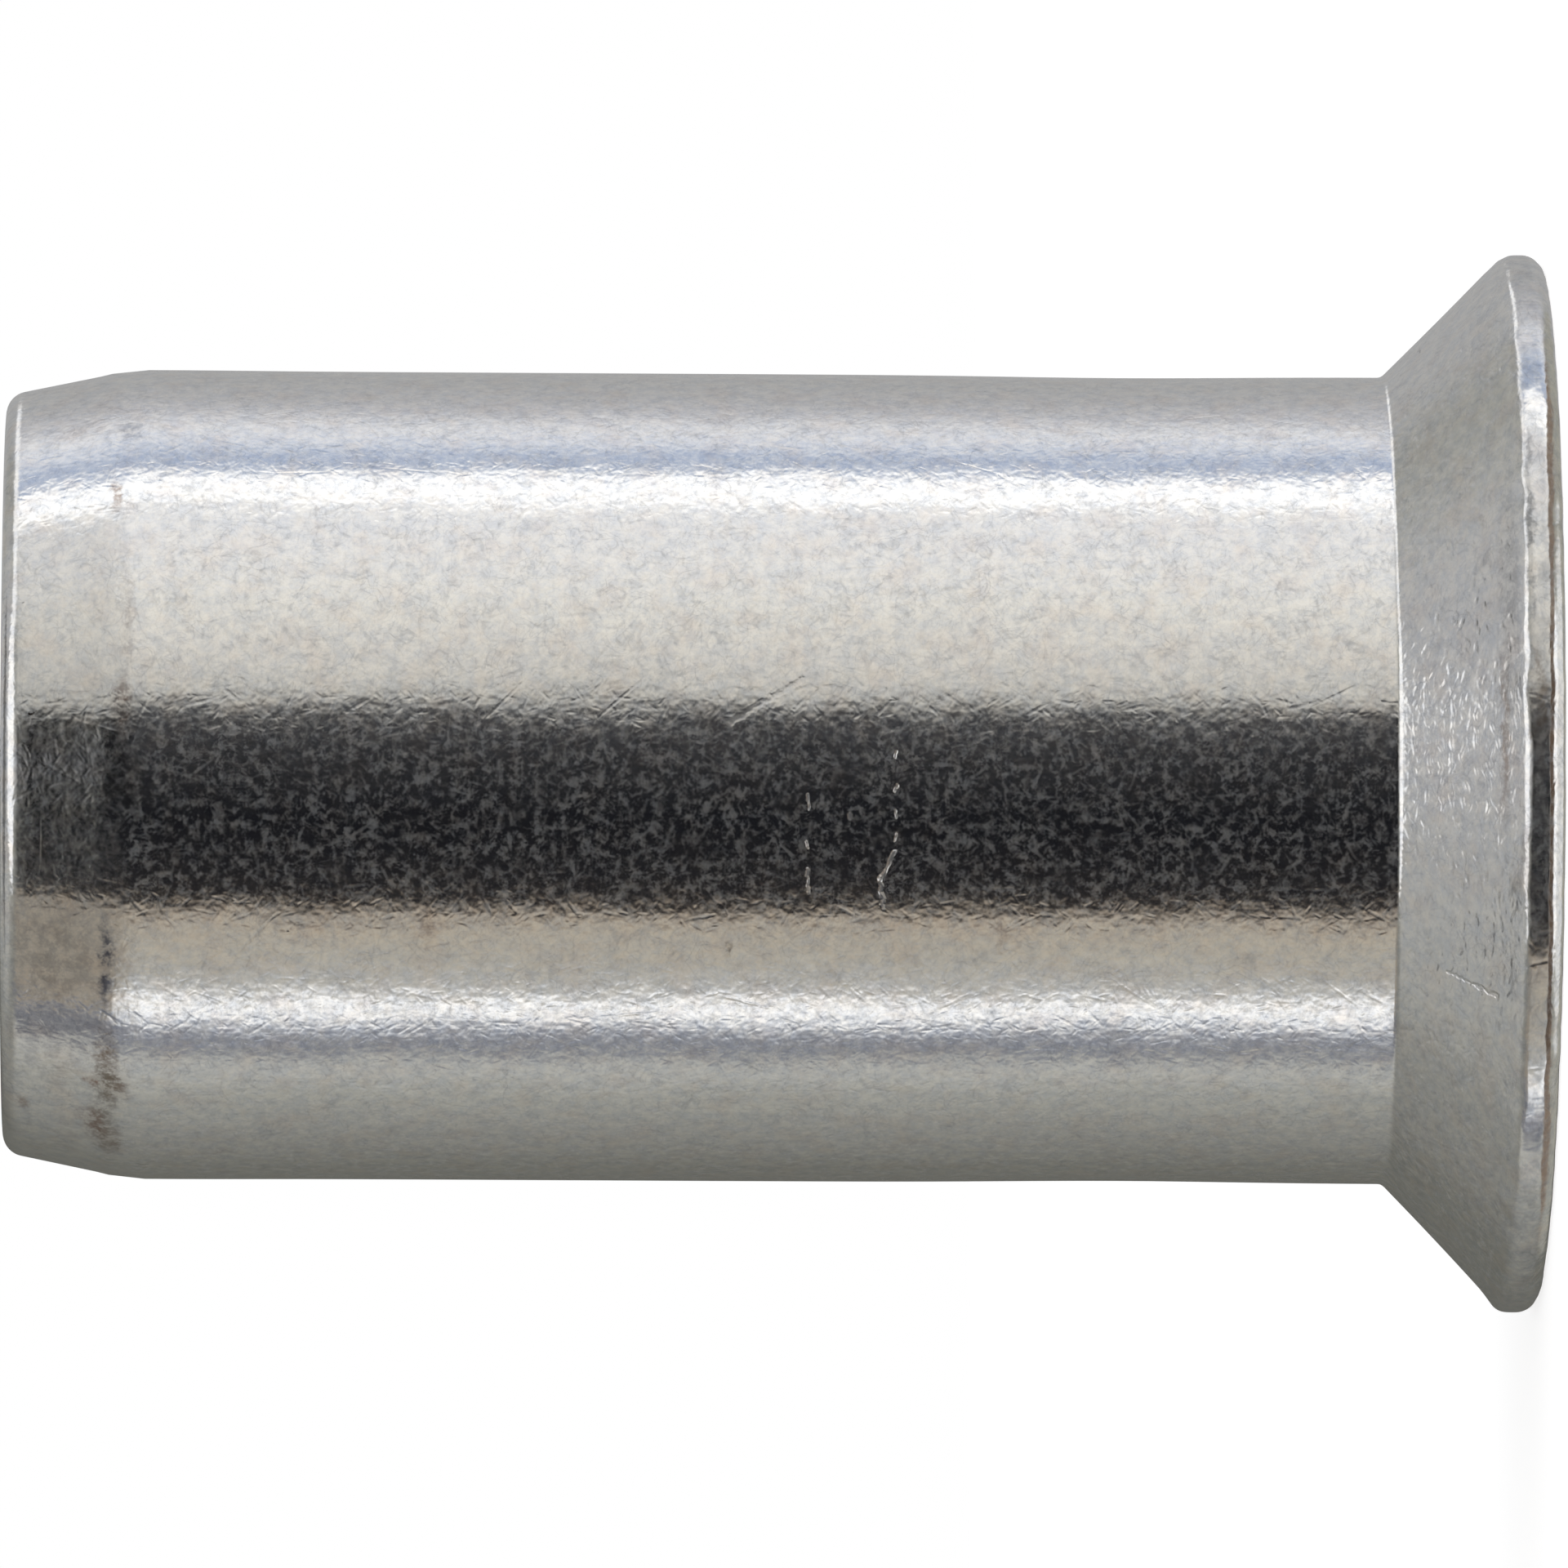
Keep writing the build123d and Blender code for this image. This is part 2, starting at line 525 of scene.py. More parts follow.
foot, neck = (place(0, up)[1] for up in (RIM_HEIGHT, NECK_HEIGHT))
cone_band = band((foot, foot + CONE_RISE), (neck - CONE_FALL, neck))
rim_band = band([foot + step for step in RIM_RISE], [foot + step for step in RIM_FALL])
leave_mark(rim_band, haze=RIM_HAZE, dull=RIM_DULLING)
print("the cone is from", round(foot, 2), "to", round(neck, 2), "mm along the outline")

# %% [markdown]
# ## Nicks
# The nicks are needle-like dents where the nuts strike each other. Each one tilts the surface by a few
# degrees, and is a little hazier and greyer than the metal round it. Carving them into the mesh would take
# millions of faces, and they are far shallower than they are wide, so the relief in the material does it.

# %% Nicks
# spacing, length, width in millimetres, spread of directions in radians, depth, haze, dulling; the real
# nicks are too fine to show, so they are drawn about twice as wide
NICKS = [
    (0.120, 0.170, 0.048, math.pi, 0.0006, 0.08, 0.10),
    (0.160, 0.240, 0.054, math.pi, 0.0009, 0.10, 0.10),
    (0.340, 0.400, 0.062, math.pi, 0.0010, 0.14, 0.08),
    (1.300, 0.900, 0.055, math.pi, 0.0012, 0.08, 0.10),
]
CONE_NICKS = [
    (0.180, 0.230, 0.090, 1.5, 0.0034, 0.05, 0.06),
    (0.130, 0.160, 0.072, 2.2, 0.0025, 0.05, 0.06),
]
# each layer reads the cells at a place of its own, this far from the last
NICK_ACROSS = 17.0
NICK_ALONG = 11.9


def nicks(spacing, length, width, spread, shift):
    """Needle-shaped nicks in random directions, sizes in millimetres, 1 in the middle and 0 outside.

    Voronoi cells give one middle to each nick. The place seen from that middle is turned by an angle drawn
    for the cell, divided by the nick's half length and half width, and its length is the reach: 1 at the
    nick's edge. A nick's strength is drawn for the cell too."""
    moved = add(tree, "ShaderNodeVectorMath", {0: surface, 1: shift}, operation="ADD")
    cells = add(tree, "ShaderNodeTexVoronoi", {
        "Vector": moved, "Scale": 1 / spacing,
    }, voronoi_dimensions="2D")
    from_middle = add(tree, "ShaderNodeVectorMath", {
        0: moved, 1: cells.outputs["Position"],
    }, operation="SUBTRACT")
    drawn = add(tree, "ShaderNodeSeparateColor", {"Color": cells.outputs["Color"]})
    angle = add(tree, "ShaderNodeMath", {
        0: drawn.outputs["Red"], 1: spread, 2: -spread / 2,
    }, operation="MULTIPLY_ADD")
    turned = add(tree, "ShaderNodeVectorRotate", {
        "Vector": from_middle, "Angle": angle,
    }, rotation_type="Z_AXIS")
    shares = add(tree, "ShaderNodeVectorMath", {
        0: turned, 1: (2 / length, 2 / width, 0),
    }, operation="MULTIPLY")
    reach = add(tree, "ShaderNodeVectorMath", {0: shares}, operation="LENGTH")
    form = add(tree, "ShaderNodeMapRange", {
        "Value": reach.outputs["Value"], "From Min": 1.0, "From Max": 0.0,
    }, interpolation_type="SMOOTHSTEP")
    return add(tree, "ShaderNodeMath", {0: form, 1: drawn.outputs["Green"]}, operation="MULTIPLY")


for number, (spacing, length, width, spread, depth, hazier, duller) in enumerate(NICKS + CONE_NICKS):
    nick = nicks(spacing, length, width, spread, (NICK_ACROSS * number, NICK_ALONG * number, 0))
    if number >= len(NICKS):
        nick = add(tree, "ShaderNodeMath", {0: nick, 1: cone_band}, operation="MULTIPLY")
    leave_mark(nick, height=-depth, haze=hazier, dull=duller)
print("layers of nicks:", len(NICKS), "everywhere and", len(CONE_NICKS), "on the cone")

# %% [markdown]
# ## Where the marks are thick and thin
# Marks that are equally thick everywhere look printed. A slow noise gathers them in clumps. The lead taper
# slid along the die, which wiped it smoother, so there the haze and the roughness run towards one even
# value.

# %% Clumps and lead taper
CLUMPING = {"From Min": NOISE_LOW, "From Max": NOISE_HIGH, "To Min": 0.50, "To Max": 1.30}
LEAD_SHARE = 0.55
LEAD_FADE = 0.1
LEAD_HAZE = 0.025
LEAD_ROUGHNESS = 0.13

clump = add(tree, "ShaderNodeMapRange", {"Value": noise["clumps"], **CLUMPING})
for name in ("haze", "dull"):
    finish[name] = add(tree, "ShaderNodeMath", {0: finish[name], 1: clump}, operation="MULTIPLY")

lead = place(0, LENGTH - LEAD_LENGTH)[1]
on_lead = add(tree, "ShaderNodeMapRange", {
    "Value": up_map, "From Min": lead - LEAD_FADE, "From Max": lead + LEAD_FADE, "To Max": LEAD_SHARE,
}, interpolation_type="SMOOTHSTEP")
for name, even in (("haze", LEAD_HAZE), ("rough", LEAD_ROUGHNESS)):
    finish[name] = add(tree, "ShaderNodeMapRange", {"Value": on_lead, "To Min": finish[name], "To Max": even})
print("the lead taper starts", round(lead, 2), "mm along the outline")

# %% [markdown]
# ## The metal's own colour
# Bare aluminium is nearly white, but no two spots of it are the same. Small clouds run from a warm to a
# cool white, some clumps have a faint copper tint where oil has dried, and the dull marks are grey. One
# flat colour would look like paint.

# %% Colour of the metal
WARM_METAL = "#f9f7f3"
COOL_METAL = "#e7e9ec"
DRIED_OIL = "#e6cdb8"
MARK_GREY = "#85888e"
CLOUDING = {"From Min": NOISE_LOW, "From Max": NOISE_HIGH}
TINTING = {"From Min": 0.48, "From Max": 0.72, "To Max": 0.18}

cloud = add(tree, "ShaderNodeMapRange", {"Value": noise["clouds"], **CLOUDING})
metal = add(tree, "ShaderNodeMix", {
    "Factor": cloud, "A": colour(WARM_METAL), "B": colour(COOL_METAL),
}, data_type="RGBA")
tints = add(tree, "ShaderNodeSeparateColor", {"Color": noise["clumps"].outputs["Color"]}).outputs["Blue"]
tint = add(tree, "ShaderNodeMapRange", {"Value": tints, **TINTING})
metal = add(tree, "ShaderNodeMix", {
    "Factor": tint, "A": metal.outputs["Result"], "B": colour(DRIED_OIL),
}, data_type="RGBA")
paint = add(tree, "ShaderNodeMix", {
    "Factor": finish["dull"], "A": metal.outputs["Result"], "B": colour(MARK_GREY),
}, data_type="RGBA")
print("metal from", WARM_METAL, "to", COOL_METAL, "with tints of", DRIED_OIL)

# %% [markdown]
# ## Stains and a painted reflection
# Forming oil has browned the lead taper and the rim, and left a few spots elsewhere. One dark bluish
# line where the lead taper meets the body is no stain but a painted reflection. Painting a mask by hand would
# do, but its edges can't be changed later. Here each stain, and that painted reflection, is an oval in the
# table. A noise tears its outline, so that no oval shows, and a second one mottles it.

# %% Stains and a painted reflection
# side in degrees, height in millimetres, size across and along, strength, colour
STAINS_AND_REFLECTIONS = [
    (9.0, 15.76, 0.80, 0.22, 0.5, "#74563f"),
    (43.0, 15.84, 0.50, 0.14, 0.45, "#8e6a4e"),
    (22.0, 15.70, 1.70, 0.16, 0.18, "#7a5a44"),
    # the next two: darker grey and bluish-grey soft lines where the lead taper meets the body
    (1.5, 15.60, 1.40, 0.14, 0.4, "#3c3c40"),
    (58.0, 15.70, 0.50, 0.30, 0.3, "#6a7080"),
    # painted reflection, not a stain: the dark bluish soft line that the blend between body and lead taper
    # mirrors
    (-28.0, 15.93, 1.30, 0.22, 0.6, "#3f4762"),
    (-43.0, 15.93, 0.80, 0.30, 0.5, "#86664c"),
    (-50.0, 15.86, 0.80, 0.44, 0.5, "#7c6048"),
    (-49.5, 16.07, 0.26, 0.18, 0.6, "#8a5c3e"),
    (-54.0, 15.93, 2.40, 0.30, 0.3, "#77705e"),
    (-60.5, 16.06, 0.90, 0.36, 0.5, "#866248"),
    (-65.6, 15.90, 0.80, 0.34, 0.45, "#866a50"),
    (-58.0, 16.86, 0.30, 0.20, 0.4, "#866448"),
    (-27.0, 16.45, 1.30, 1.20, 0.22, "#7e7460"),
    (-42.0, 16.50, 2.20, 1.10, 0.14, "#8a7050"),
    (26.0, 16.85, 0.06, 0.06, 0.8, "#4c4440"),
    (9.0, 16.75, 0.06, 0.06, 0.8, "#4c4440"),
    (78.0, 1.38, 0.25, 0.05, 0.6, "#5a5a58"),
    (-25.0, 9.09, 0.22, 0.12, 0.5, "#6a5c50"),
    (-21.5, 12.4, 0.50, 0.16, 0.3, "#8a6c54"),
    (-22.5, 6.1, 0.40, 0.14, 0.25, "#8a6c54"),
    (-8.0, 0.42, 0.60, 0.20, 0.3, "#8a7466"),
    (5.0, 0.66, 1.60, 0.16, 0.35, "#a08468"),
    (20.0, 0.60, 3.00, 0.35, 0.2, "#7d7466"),
    (28.0, 0.36, 2.40, 0.10, 0.35, "#4a4a48"),
    (8.0, 0.30, 1.30, 0.16, 0.4, "#8a7458"),
]
TEAR = 0.24
OVAL_HAZE = 0.15
# a mark starts outside its oval and is full inside it, in shares of the oval's half sizes
OVAL_EDGE = 1.3
OVAL_CORE = 0.2
MOTTLING = {"From Min": 0.42, "From Max": 0.60, "To Min": 0.45, "To Max": 1.50}

torn = add(tree, "ShaderNodeVectorMath", {
    0: noise["tear"].outputs["Color"], 1: (TEAR, TEAR, 0), 2: (-TEAR / 2, -TEAR / 2, 0),
}, operation="MULTIPLY_ADD")
torn = add(tree, "ShaderNodeVectorMath", {0: surface, 1: torn}, operation="ADD")
mottle = add(tree, "ShaderNodeMapRange", {"Value": noise["clouds"], **MOTTLING})
for side, up, wide, tall, strength, stain_and_reflection_colour in STAINS_AND_REFLECTIONS:
    seen = add(tree, "ShaderNodeVectorMath", {0: torn, 1: place(side, up)}, operation="SUBTRACT")
    reach = add(tree, "ShaderNodeVectorMath", {0: seen, 1: (2 / wide, 2 / tall, 0)}, operation="MULTIPLY")
    reach = add(tree, "ShaderNodeVectorMath", {0: reach}, operation="LENGTH")
    stain_and_reflection = add(tree, "ShaderNodeMapRange", {
        "Value": reach.outputs["Value"], "From Min": OVAL_EDGE, "From Max": OVAL_CORE, "To Max": strength,
    }, interpolation_type="SMOOTHSTEP")
    stain_and_reflection = add(tree, "ShaderNodeMath", {0: stain_and_reflection, 1: mottle}, operation="MULTIPLY")
    # each oval's colour goes into the paint: the stains, and the one painted reflection
    paint = add(tree, "ShaderNodeMix", {
        "Factor": stain_and_reflection, "A": paint.outputs["Result"], "B": colour(stain_and_reflection_colour),
    }, data_type="RGBA")
    leave_mark(stain_and_reflection, haze=OVAL_HAZE)
print("stains:", len(STAINS_AND_REFLECTIONS))

# %% [markdown]
# ## Scars
# A few longer scars come from the feed rails of the forming press. They are straight, some of them broken
# into dashes, and frayed along their edges. Boolean cuts would leave long thin faces in the grid, so each
# is a line between two places, and a fine noise frays it.

# %% Scars
# side in degrees, height in millimetres, of both ends; width, depth
SCARS = [
    (-10.0, 7.31, -14.0, 7.47, 0.060, 0.0080),
    (-14.0, 7.47, -18.3, 7.43, 0.070, 0.0080),
    (4.3, 7.30, 3.2, 7.31, 0.045, 0.0070),
    (-0.5, 7.29, -1.5, 7.31, 0.045, 0.0070),
    (-4.1, 7.31, -5.1, 7.30, 0.045, 0.0060),
    (-7.4, 7.30, -8.4, 7.32, 0.045, 0.0060),
    (-2.0, 8.27, -4.0, 8.26, 0.045, 0.0050),
    (-8.6, 8.28, -9.5, 8.27, 0.045, 0.0070),
    (-12.5, 8.27, -16.0, 8.25, 0.045, 0.0060),
    (-4.7, 7.80, -5.3, 7.80, 0.070, 0.0060),
    (8.1, 9.11, 14.3, 8.33, 0.100, 0.0022),
    (-24.2, 1.250, -24.4, 1.020, 0.060, 0.0060),
    (-24.4, 0.980, -24.6, 0.724, 0.075, 0.0090),
]
FRAY = 0.05
SCAR_HAZE = 0.2


def scar(start, end, width):
    """1 on the line between two places of the map and 0 beyond half its width.

    The share of the line passed is (place - start) . run / (run . run), held between 0 and 1. The distance
    left over when that much of the run is taken off, over half the width, is the reach."""
    run = Vector(end) - Vector(start)
    seen = add(tree, "ShaderNodeVectorMath", {0: frayed, 1: start}, operation="SUBTRACT")
    share = add(tree, "ShaderNodeVectorMath", {0: seen, 1: run / run.dot(run)}, operation="DOT_PRODUCT")
    share = add(tree, "ShaderNodeClamp", {"Value": share.outputs["Value"]})
    passed = add(tree, "ShaderNodeVectorMath", {0: run, "Scale": share}, operation="SCALE")
    reach = add(tree, "ShaderNodeVectorMath", {0: seen, 1: passed}, operation="DISTANCE")
    return add(tree, "ShaderNodeMapRange", {
        "Value": reach.outputs["Value"], "From Min": width / 2, "From Max": 0.0,
    }, interpolation_type="SMOOTHSTEP")


frayed = add(tree, "ShaderNodeVectorMath", {
    0: noise["fray"].outputs["Color"], 1: (FRAY, FRAY, 0), 2: surface,
}, operation="MULTIPLY_ADD")
for start_side, start_up, end_side, end_up, width, depth in SCARS:
    cut = scar(place(start_side, start_up), place(end_side, end_up), width)
    leave_mark(cut, height=-depth, haze=SCAR_HAZE)
print("scars:", len(SCARS))

# %% [markdown]
# ## The sums become a shader
# A metal's colour belongs on the Principled shader with Metallic at 1. Where a mark scatters light the
# surface acts as if it were partly matt, so the haze takes Metallic down by up to a quarter. The relief
# goes through a Bump node whose distance is one millimetre, because the heights are in millimetres.

# %% Tumbled aluminium: the shader
FULL_HAZE = 0.16
HAZY_METALLIC = 0.76

bare = add(tree, "ShaderNodeMapRange", {
    "Value": finish["haze"], "From Min": 0.0, "From Max": FULL_HAZE, "To Min": 1.0, "To Max": HAZY_METALLIC,
})
relief = add(tree, "ShaderNodeBump", {"Height": finish["height"], "Strength": 1.0, "Distance": MM})
shader = add(tree, "ShaderNodeBsdfPrincipled", {
    "Base Color": paint.outputs["Result"], "Metallic": bare, "Roughness": finish["rough"], "Normal": relief,
})
add(tree, "ShaderNodeOutputMaterial", {"Surface": shader})
nut.data.materials.append(tumbled)
print("nodes in the tumbled finish:", len(tree.nodes))

# %% [markdown]
# ## Bored aluminium
# The bore and the thread are cut after forming, and tumbling hardly reaches them, so they are bright and
# keep the fine rings that a drill and a tap leave. A bump texture on Object coordinates would run straight
# through the wall. The rings are noise on the surface map, stretched a long way round. The faces that take
# this second finish are picked by the row of the outline they came from.

# %% Bored aluminium
RING_WIDTH = 0.05
RING_HEIGHT = 0.0012
RING_STRETCH = 60.0
BORED_METAL = "#e9e8e4"
BORED_ROUGHNESS = 0.18


def bored_aluminium():
    """Bright cut metal with fine rings."""
    material, tree = new_material("bored_aluminium")
    surface = add(tree, "ShaderNodeUVMap", uv_map="surface")
    drawn_out = add(tree, "ShaderNodeVectorMath", {
        0: surface, 1: (1 / RING_STRETCH, 1, 0),
    }, operation="MULTIPLY")
    rings = add(tree, "ShaderNodeTexNoise", {
        "Vector": drawn_out, "Scale": 1 / RING_WIDTH, "Detail": 2.0,
    }, noise_dimensions="2D")
    height = add(tree, "ShaderNodeMath", {0: rings, 1: RING_HEIGHT}, operation="MULTIPLY")
    relief = add(tree, "ShaderNodeBump", {"Height": height, "Strength": 1.0, "Distance": MM})
    shader = add(tree, "ShaderNodeBsdfPrincipled", {
        "Base Color": colour(BORED_METAL), "Metallic": 1.0, "Roughness": BORED_ROUGHNESS, "Normal": relief,
    })
    add(tree, "ShaderNodeOutputMaterial", {"Surface": shader})
    return material


nut.data.materials.append(bored_aluminium())
entry_row = top + int(np.argmax(outline[top:, 0] < entry_radius))
bored_rows = (np.arange(rows) >= entry_row) & (outline[:, 1] > MOUTH_ROUND)
nut.data.polygons.foreach_set("material_index", np.repeat(bored_rows, COLUMNS).astype(np.int32))
print("rows of bored faces:", int(bored_rows.sum()), "of", rows)

# %% [markdown]
# ## Light tent
# Metal looks like what stands around it. A photographer puts bright metal into a tent of white paper and
# leaves a dark gap for the camera, so that a crisp dark band gives the round body its form. Area lamps
# would do for a simple set, but each edge that the metal mirrors is then one more lamp to place. Here the
# whole tent is one sphere whose glow is worked out for each direction. At the horizon, sheets of paper
# stand round the nut. The upright body mirrors only these.

# %% Sheets at the horizon and in the roof
# bearing in degrees from the camera towards +X, colour, level: the paper runs evenly from one to the next
HORIZON = [
    (-180, "#62625d", 1.0),
    (-147, "#71716b", 1.0),
    (-123, "#898984", 1.0),
    (-102, "#a1a19b", 1.0),
    (-92, "#b9b9b5", 1.0),
    (-89, "#b2b2ae", 1.0),
    (-86, "#8c8d90", 1.0),
    (-82, "#80838c", 1.0),
    (-78, "#94979f", 1.0),
    (-75, "#ccd0d8", 1.0),
    (-73, "#ffffff", 1.0),
    (-68, "#ffffff", 1.25),
    (-65, "#cccbc8", 1.0),
    (-61, "#b3b2ae", 1.0),
    (-52, "#b2ada2", 1.0),
    (-42.3, "#b5ac9e", 1.0),
    (-40.3, "#a4988a", 1.0),
    (-37.2, "#3e3a37", 1.0),
    (-35.2, "#262527", 1.0),
    (-12, "#17181c", 1.0),
    (4, "#2e2e30", 1.0),
    (11, "#38383a", 1.0),
    (16, "#464648", 1.0),
    (18, "#5a5a5a", 1.0),
    (22, "#bab8b2", 1.0),
    (25, "#cbc9c3", 1.0),
    (36, "#dad7d1", 1.0),
    (49, "#e7e5df", 1.0),
    (63, "#efeeec", 1.0),
    (78, "#f0f0f1", 1.0),
    (83, "#f8f8f8", 1.0),
    (86, "#ffffff", 1.3),
    (94, "#ffffff", 1.3),
    (97, "#d4d9e4", 1.0),
    (100, "#a9b6ce", 1.0),
    (104, "#b1bdd4", 1.0),
    (107, "#d3dae7", 1.0),
    (111, "#dfe3ed", 1.0),
    (115, "#ecedf1", 1.0),
    (119, "#e0e1e5", 1.0),
    (126, "#c4c4c8", 1.0),
    (135, "#b5b5b7", 1.0),
    (150, "#acacac", 1.0),
    (180, "#a8a8a8", 1.0),
]

# lean from overhead in degrees, towards +X, colour, level
ROOF = [
    (-90, "#72726c", 1.0),
    (-65, "#7c7b76", 1.0),
    (-50, "#858580", 1.0),
    (-40, "#8e8e89", 1.0),
    (-30, "#a5a5a1", 1.0),
    (-15, "#acacaa", 1.0),
    (0, "#acacad", 1.0),
    (20, "#b2b2b3", 1.0),
    (30, "#b5b5b5", 1.0),
    (40, "#a8a8a5", 1.0),
    (52, "#9b9b96", 1.0),
    (64, "#9c9c98", 1.0),
    (90, "#aaaaa9", 1.0),
]
print("stops at the horizon:", len(HORIZON), "and in the roof:", len(ROOF))

# %% [markdown]
# The cone leans back by 46 degrees and mirrors the roof, and the rounds mirror everything between roof and
# horizon. So smaller sheets are laid over the large ones, each with soft edges. A sheet is a window in
# elevation times a window in bearing.

# %% Smaller sheets
BEYOND = 200
ALL_ROUND = (-400, 400, 1)

# elevation and bearing, each as from, to and softness in degrees; then share, colour, level
WALL_SHEETS = [
    ((14, BEYOND, 8), (-75, -40, 4), 1.0, "#968f84", 1.0),
    ((14, BEYOND, 8), (-84, -75, 3), 1.0, "#75777e", 1.0),
    ((14, 40, 8), (18, 82, 8), 0.3, "#a5a39d", 1.0),
    ((14, 40, 8), (-10, 17, 6), 1.0, "#151517", 1.0),
]
FRONT_BOX = [
    ((46, 80, 8), (-42, 72, 10), 1.0, "#ffffff", 1.1),
]
GROUND_SHEETS = [
    ((-BEYOND, -26, 6), ALL_ROUND, 1.0, "#a09f97", 1.0),
    ((-BEYOND, -60, 10), ALL_ROUND, 1.0, "#e2e2e0", 1.0),
    ((-66, -26, 6), (-55, 52, 16), 1.0, "#ffffff", 1.1),
    ((-48, -26, 5), (-125, 118, 24), 1.0, "#84766a", 1.0),
    ((-48, -26, 5), (-70, 36, 24), 1.0, "#5c4f45", 1.0),
]


def along_stops(stops, value):
    """Colour at each value, running evenly between the stops on each side of it."""
    marks = [stop[0] for stop in stops]
    paints = np.array([colour(paint, level)[:3] for mark, paint, level in stops])
    return np.stack([np.interp(value, marks, paints[:, i]) for i in range(3)], axis=-1)


def window(value, low, high, soft):
    """1 between two values and 0 outside them, with a smooth step as wide as the softness at each side."""
    rise = np.clip((value - low) / soft + 0.5, 0, 1)
    fall = np.clip((high - value) / soft + 0.5, 0, 1)
    share = np.minimum(rise, fall)
    return share * share * (3 - 2 * share)


def laid_over(glow, share, paint, level=1.0):
    """The glow with a sheet of that colour laid over it, as much as the share says."""
    share = share[..., None]
    return glow * (1 - share) + share * np.array(colour(paint, level)[:3])


def with_sheets(glow, bearing, elevation, sheets):
    """The glow with each of the sheets laid over it in turn."""
    for heights, bearings, share, paint, level in sheets:
        cover = share * window(elevation, *heights) * window(bearing, *bearings)
        glow = laid_over(glow, cover, paint, level)
    return glow


print("smaller sheets:", len(WALL_SHEETS + FRONT_BOX + GROUND_SHEETS))

# %% [markdown]
# Two sheets are placed by what mirrors them instead of by where they stand. A mirror that shows a piece of
# the tent to the camera faces halfway between the two directions. The small rounds at the neck and at the
# end lean back by 20 to 30 degrees, and the bright line along them is a white sheet in just those
# directions. Only the round at the end leans back further than the cone does, and it sees grey.

# %% Glow of the tent
RIDGE_SHARPNESS = 5
SMALLEST = 1e-6
LINE_PAPER = "#ffffff"
PAST_CONE_PAPER = "#686867"
# windows, each as from, to and softness
ROOF_ELEVATION = (32, BEYOND, 20)
LINE_LEAN = (0.34, 0.50, 0.08)
LINE_BEARING = (52, 152, 16)
PAST_CONE = (0.055, 9, 0.05)
PAST_CONE_ELEVATION = (62, BEYOND, 12)
CONE_CURVE = 1 / (2 * math.sin(CONE_HALF_ANGLE) ** 2)


def tent_glow(bearing, elevation):
    """Colour of the tent's paper at each bearing and elevation, the sheets laid on in order.

    The roof's colour runs with the lean from overhead, which changes sign across the camera's own line.
    The sine of a mirror's lean is the direction's height over the length of that direction plus the one to
    the camera, and that length is the root of 2 - 2 * behind. The cone mirrors the directions in which
    behind is 1 less its curve's number times the height squared."""
    glow = with_sheets(along_stops(HORIZON, bearing), bearing, elevation, WALL_SHEETS)
    roof = window(elevation, *ROOF_ELEVATION)[..., None]
    lean = (90 - elevation) * np.tanh(RIDGE_SHARPNESS * np.sin(np.radians(bearing)))
    glow = glow * (1 - roof) + roof * along_stops(ROOF, lean)
    glow = with_sheets(glow, bearing, elevation, FRONT_BOX)

    up = np.sin(np.radians(elevation))
    behind = -np.cos(np.radians(bearing)) * np.cos(np.radians(elevation))
    mirror_lean = up / np.sqrt(np.maximum(2 - 2 * behind, SMALLEST))
    line = window(mirror_lean, *LINE_LEAN) * window(bearing, *LINE_BEARING)
    glow = laid_over(glow, line, LINE_PAPER)
    past_cone = behind - (1 - CONE_CURVE * up ** 2)
    grey = window(past_cone, *PAST_CONE) * window(elevation, *PAST_CONE_ELEVATION)
    glow = laid_over(glow, grey, PAST_CONE_PAPER)
    return with_sheets(glow, bearing, elevation, GROUND_SHEETS)


print("glow straight behind the nut:", tent_glow(np.array([180.0]), np.array([0.0]))[0].round(2))

# %% Light tent
TENT_RADIUS = 0.7
TENT_COLUMNS = 360
TENT_ROWS = 180


def tent_paper():
    """Paper that gives off the glow stored on its points, and takes no light itself."""
    material, tree = new_material("tent_paper")
    stored = add(tree, "ShaderNodeVertexColor", layer_name="glow")
    shine = add(tree, "ShaderNodeEmission", {"Color": stored, "Strength": 1.0})
    add(tree, "ShaderNodeOutputMaterial", {"Surface": shine})
    material.cycles.emission_sampling = "NONE"
    return material


def light_tent():
    """A sphere of paper round the nut. A point is its radius times (sin bearing cos elevation, -cos bearing
    cos elevation, sin elevation), and its glow is stored on the points."""
    bearing, elevation = np.meshgrid(
        np.linspace(-180, 180, TENT_COLUMNS + 1), np.linspace(-90, 90, TENT_ROWS + 1), indexing="ij",
    )
    b, e = np.radians(bearing), np.radians(elevation)
    points = np.stack([np.sin(b) * np.cos(e), -np.cos(b) * np.cos(e), np.sin(e)], axis=2) * TENT_RADIUS
    i, j = np.meshgrid(np.arange(TENT_COLUMNS), np.arange(TENT_ROWS), indexing="ij")
    first, following = i * (TENT_ROWS + 1) + j, (i + 1) * (TENT_ROWS + 1) + j
    faces = np.stack([first, first + 1, following + 1, following], axis=2)
    tent = quad_mesh("light_tent", points.reshape(-1, 3), faces.reshape(-1, 4))
    glow = tent_glow(bearing, elevation).reshape(-1, 3)
    layer = tent.data.color_attributes.new("glow", "FLOAT_COLOR", "POINT")
    layer.data.foreach_set("color", np.hstack([glow, np.ones((len(glow), 1))]).astype(np.float32).ravel())
    tent.data.materials.append(tent_paper())
    tent.visible_camera = False
    return tent


tent = light_tent()
print("tent faces:", len(tent.data.polygons))

# %% [markdown]
# ## Background
# The camera looks through the tent, which it doesn't see, at a plain white world. A backdrop would have to
# be lit, and its light would fall on the nut too. The tent stands in front of the world for every other
# ray, so the world puts no light on the nut.

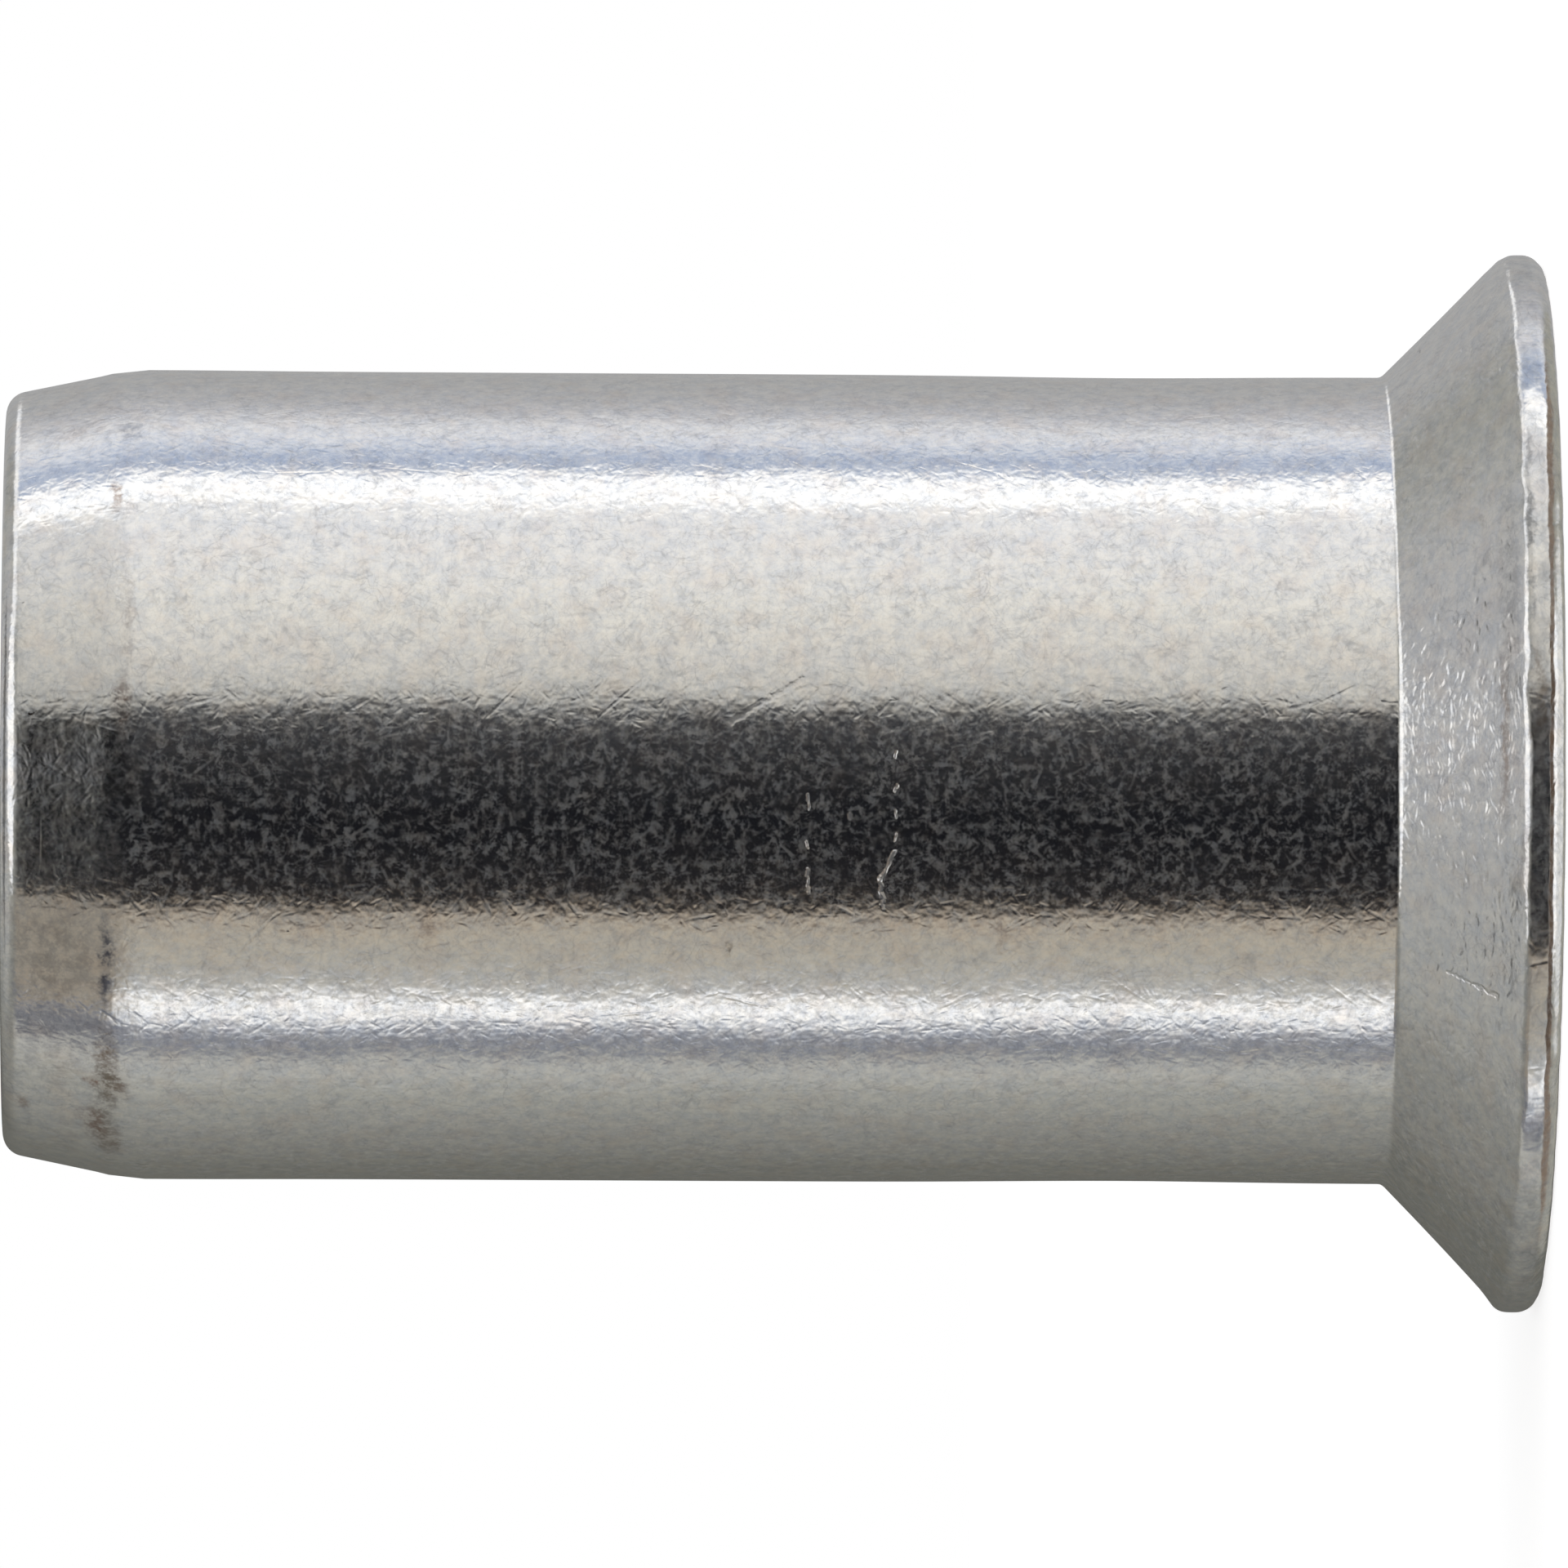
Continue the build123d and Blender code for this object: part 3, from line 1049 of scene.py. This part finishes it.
# %% White background
world = bpy.data.worlds.new("white_background")
world.use_nodes = True
world.node_tree.nodes.clear()
white = add(world.node_tree, "ShaderNodeBackground", {"Color": colour("#ffffff"), "Strength": 1.0})
add(world.node_tree, "ShaderNodeOutputWorld", {"Surface": white})
world.cycles.sampling_method = "NONE"
bpy.context.scene.world = world
print("world:", world.name)

# %% [markdown]
# ## Floor
# A floor of white paper with only the nut's own soft shadow on it. What the paper sends back in the open is
# worked out from the tent: its colour times the tent's glow, averaged with a weight of sin elevation times
# cos elevation. What is missing to white is added for the rays that Light Path names as coming from the
# camera, a mirror or glass, and for no others, so it puts no light on the nut. In the open the floor is
# just white, and where the nut takes light away it is darker. From below the paper is clear, so the head's
# face shows.

# %% Floor
FLOOR_REACH = 0.22
PAPER = "#f0f0f0"
WHITE_MARGIN = 1.06
OPEN_STEP = 2.0


def open_light():
    """Mean glow of the upper half of the tent on a flat floor, for red, green and blue."""
    bearing, elevation = np.meshgrid(np.arange(-179, 180, OPEN_STEP), np.arange(1, 90, OPEN_STEP))
    weight = np.sin(np.radians(elevation)) * np.cos(np.radians(elevation))
    glow = tent_glow(bearing, elevation) * weight[..., None]
    return glow.sum(axis=(0, 1)) / weight.sum()


def white_floor():
    """Matt paper with the glow that it lacks to be white in the open, and clear from below."""
    material, tree = new_material("white_paper")
    sent_back = np.array(colour(PAPER)[:3]) * open_light()
    missing = np.maximum(WHITE_MARGIN - sent_back, 0.0)
    print("paper sends back", sent_back.round(2), "and is seen with", missing.round(2), "more")
    path = add(tree, "ShaderNodeLightPath")
    seen = add(tree, "ShaderNodeMath", {
        0: path.outputs["Is Camera Ray"], 1: path.outputs["Is Glossy Ray"],
    }, operation="MAXIMUM")
    seen = add(tree, "ShaderNodeMath", {
        0: seen, 1: path.outputs["Is Transmission Ray"],
    }, operation="MAXIMUM")
    glow = add(tree, "ShaderNodeEmission", {"Color": (*missing, 1.0), "Strength": seen})
    paper = add(tree, "ShaderNodeBsdfDiffuse", {"Color": colour(PAPER)})
    both = add(tree, "ShaderNodeAddShader", {0: glow, 1: paper})
    clear = add(tree, "ShaderNodeBsdfTransparent")
    below = add(tree, "ShaderNodeNewGeometry").outputs["Backfacing"]
    sheet = add(tree, "ShaderNodeMixShader", {0: below, 1: both, 2: clear})
    add(tree, "ShaderNodeOutputMaterial", {"Surface": sheet})
    return material


corners = np.array([[-1, -1, 0], [1, -1, 0], [1, 1, 0], [-1, 1, 0]]) * FLOOR_REACH
floor = quad_mesh("floor", corners, np.array([[0, 1, 2, 3]]))
floor.data.materials.append(white_floor())
floor.visible_glossy = False

# %% [markdown]
# ## Camera
# A long lens from a quarter of a metre keeps the nut's ends in true proportion. The nut stands on its head,
# because it would roll on its side, and the camera lies on its side instead, so that the axis runs across
# the picture. A Track To constraint can't roll a camera like that, so its three axes are worked out here.

# %% Camera
# in millimetres, apart from the roll, and the clipping in metres
CAMERA_DISTANCE = 249.5
CAMERA_HEIGHT = 13.47
AIM_HEIGHT = 8.415
AIM_SIDE = -0.044
ROLL = math.radians(0.30)
VIEW_WIDTH = 17.4863
SENSOR_WIDTH = 36.0
CLIP_NEAR = 0.01
CLIP_FAR = 10.0

camera_data = bpy.data.cameras.new("camera")
camera = bpy.data.objects.new("camera", camera_data)
bpy.context.scene.collection.objects.link(camera)
bpy.context.scene.camera = camera
eye = np.array([AIM_SIDE, -CAMERA_DISTANCE, CAMERA_HEIGHT]) * MM
aim = np.array([AIM_SIDE, 0.0, AIM_HEIGHT]) * MM
back = (eye - aim) / np.linalg.norm(eye - aim)
right = math.cos(ROLL) * np.array([0, 0, -1.0]) + math.sin(ROLL) * np.array([1.0, 0, 0])
right = right - (right @ back) * back
right = right / np.linalg.norm(right)
up = np.cross(back, right)
camera.matrix_world = Matrix([[*axis] for axis in np.stack([right, up, back, eye], axis=1)] + [[0, 0, 0, 1]])
camera_data.sensor_width = SENSOR_WIDTH
camera_data.lens = SENSOR_WIDTH * CAMERA_DISTANCE / VIEW_WIDTH
camera_data.clip_start = CLIP_NEAR
camera_data.clip_end = CLIP_FAR
print("lens in mm:", round(camera_data.lens, 1))

# %% [markdown]
# ## Finish
# The Standard view shows a colour as it was written, where Blender's usual one softens bright metal.

# %% Finish
bpy.context.scene.view_settings.view_transform = "Standard"
